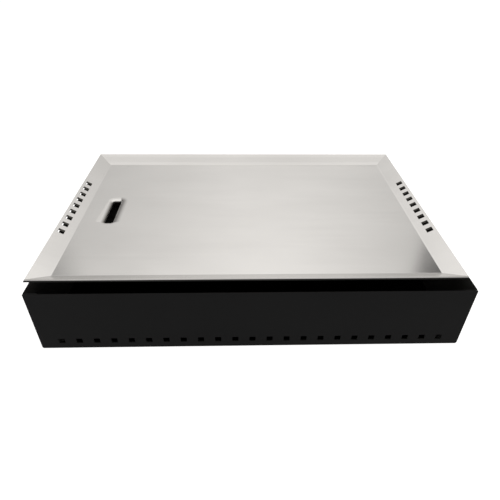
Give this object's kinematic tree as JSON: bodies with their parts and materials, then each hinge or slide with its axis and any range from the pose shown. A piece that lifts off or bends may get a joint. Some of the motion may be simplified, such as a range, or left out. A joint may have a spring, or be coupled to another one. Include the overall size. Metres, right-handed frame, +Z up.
{
  "type": "flat top griddle",
  "caption": "Griddle that stands over a range: folded stainless plate with upturned vented flanges and a drain slot, on a vented black steel skirt with a grease drawer and levelling feet.",
  "frame": {"origin": "centre of the footprint on the floor, level with the undersides of the foot pads", "axes": "+X to the right, +Y to the back, +Z up; the front panel faces -Y"},
  "size_m": [0.762, 0.5334, 0.1497],
  "materials": {
    "stainless_plate": "brushed across the width",
    "stainless": "mill finish",
    "black_coat": "fine satin powder coat",
    "zinc_steel": "zinc plated",
    "black_zinc": "black zinc plated",
    "pad_rubber": "matt moulded"
  },
  "bodies": {
    "skirt": {"bracket_nuts": "black_zinc", "bracket_studs": "black_zinc", "corner_nuts": "black_zinc", "corner_studs": "black_zinc", "cradle_nuts": "black_zinc", "cradle_studs": "black_zinc", "cross_rail_front": "black_coat", "cross_rail_rear": "black_coat", "drawer_cradle": "black_coat", "foot_bracket_front_left": "black_coat", "foot_bracket_front_right": "black_coat", "foot_bracket_rear_left": "black_coat", "foot_bracket_rear_right": "black_coat", "foot_nuts": "zinc_steel", "front_panel": "black_coat", "left_panel": "black_coat", "rail_nuts": "black_zinc", "rail_studs": "black_zinc", "rear_panel": "black_coat", "right_panel": "black_coat"},
    "plate": {"cooking_plate": "stainless_plate", "drain_spout": "stainless", "stiffener_bar_front": "stainless", "stiffener_bar_middle": "stainless", "stiffener_bar_rear": "stainless", "locating_pins": "stainless"},
    "drawer": {"drawer_tray": "black_coat", "drawer_front": "black_coat"},
    "foot_pad_front_left": {"foot_pad_front_left": "pad_rubber"},
    "foot_stud_front_left": {"foot_stud_front_left": "zinc_steel"},
    "foot_pad_front_right": {"foot_pad_front_right": "pad_rubber"},
    "foot_stud_front_right": {"foot_stud_front_right": "zinc_steel"},
    "foot_pad_rear_left": {"foot_pad_rear_left": "pad_rubber"},
    "foot_stud_rear_left": {"foot_stud_rear_left": "zinc_steel"},
    "foot_pad_rear_right": {"foot_pad_rear_right": "pad_rubber"},
    "foot_stud_rear_right": {"foot_stud_rear_right": "zinc_steel"}
  },
  "joints": [
    {"name": "plate_lift", "type": "slide", "parent": "skirt", "child": "plate", "axis": [0, 0, 1], "range_m": [0, 0.15]},
    {"name": "drawer_slide", "type": "slide", "parent": "skirt", "child": "drawer", "axis": [-1, 0, 0], "range_m": [0, 0.095]},
    {"name": "foot_travel_front_left", "type": "slide", "parent": "skirt", "child": "foot_pad_front_left", "axis": [0, 0, -1], "range_m": [0, 0.008]},
    {"name": "foot_turn_front_left", "type": "hinge", "parent": "foot_pad_front_left", "child": "foot_stud_front_left", "pos_m": [-0.3541, -0.2398, 0], "axis": [0, 0, -1], "range_deg": [0, 2280]},
    {"name": "foot_travel_front_right", "type": "slide", "parent": "skirt", "child": "foot_pad_front_right", "axis": [0, 0, -1], "range_m": [0, 0.008]},
    {"name": "foot_turn_front_right", "type": "hinge", "parent": "foot_pad_front_right", "child": "foot_stud_front_right", "pos_m": [0.3541, -0.2398, 0], "axis": [0, 0, -1], "range_deg": [0, 2280]},
    {"name": "foot_travel_rear_left", "type": "slide", "parent": "skirt", "child": "foot_pad_rear_left", "axis": [0, 0, -1], "range_m": [0, 0.008]},
    {"name": "foot_turn_rear_left", "type": "hinge", "parent": "foot_pad_rear_left", "child": "foot_stud_rear_left", "pos_m": [-0.3541, 0.2398, 0], "axis": [0, 0, -1], "range_deg": [0, 2280]},
    {"name": "foot_travel_rear_right", "type": "slide", "parent": "skirt", "child": "foot_pad_rear_right", "axis": [0, 0, -1], "range_m": [0, 0.008]},
    {"name": "foot_turn_rear_right", "type": "hinge", "parent": "foot_pad_rear_right", "child": "foot_stud_rear_right", "pos_m": [0.3541, 0.2398, 0], "axis": [0, 0, -1], "range_deg": [0, 2280]}
  ],
  "couplings": [
    {"joint": "foot_travel_front_left", "follows": "foot_turn_front_left", "m_per_rad": 0.00019894},
    {"joint": "foot_travel_front_right", "follows": "foot_turn_front_right", "m_per_rad": 0.00019894},
    {"joint": "foot_travel_rear_left", "follows": "foot_turn_rear_left", "m_per_rad": 0.00019894},
    {"joint": "foot_travel_rear_right", "follows": "foot_turn_rear_right", "m_per_rad": 0.00019894}
  ]
}
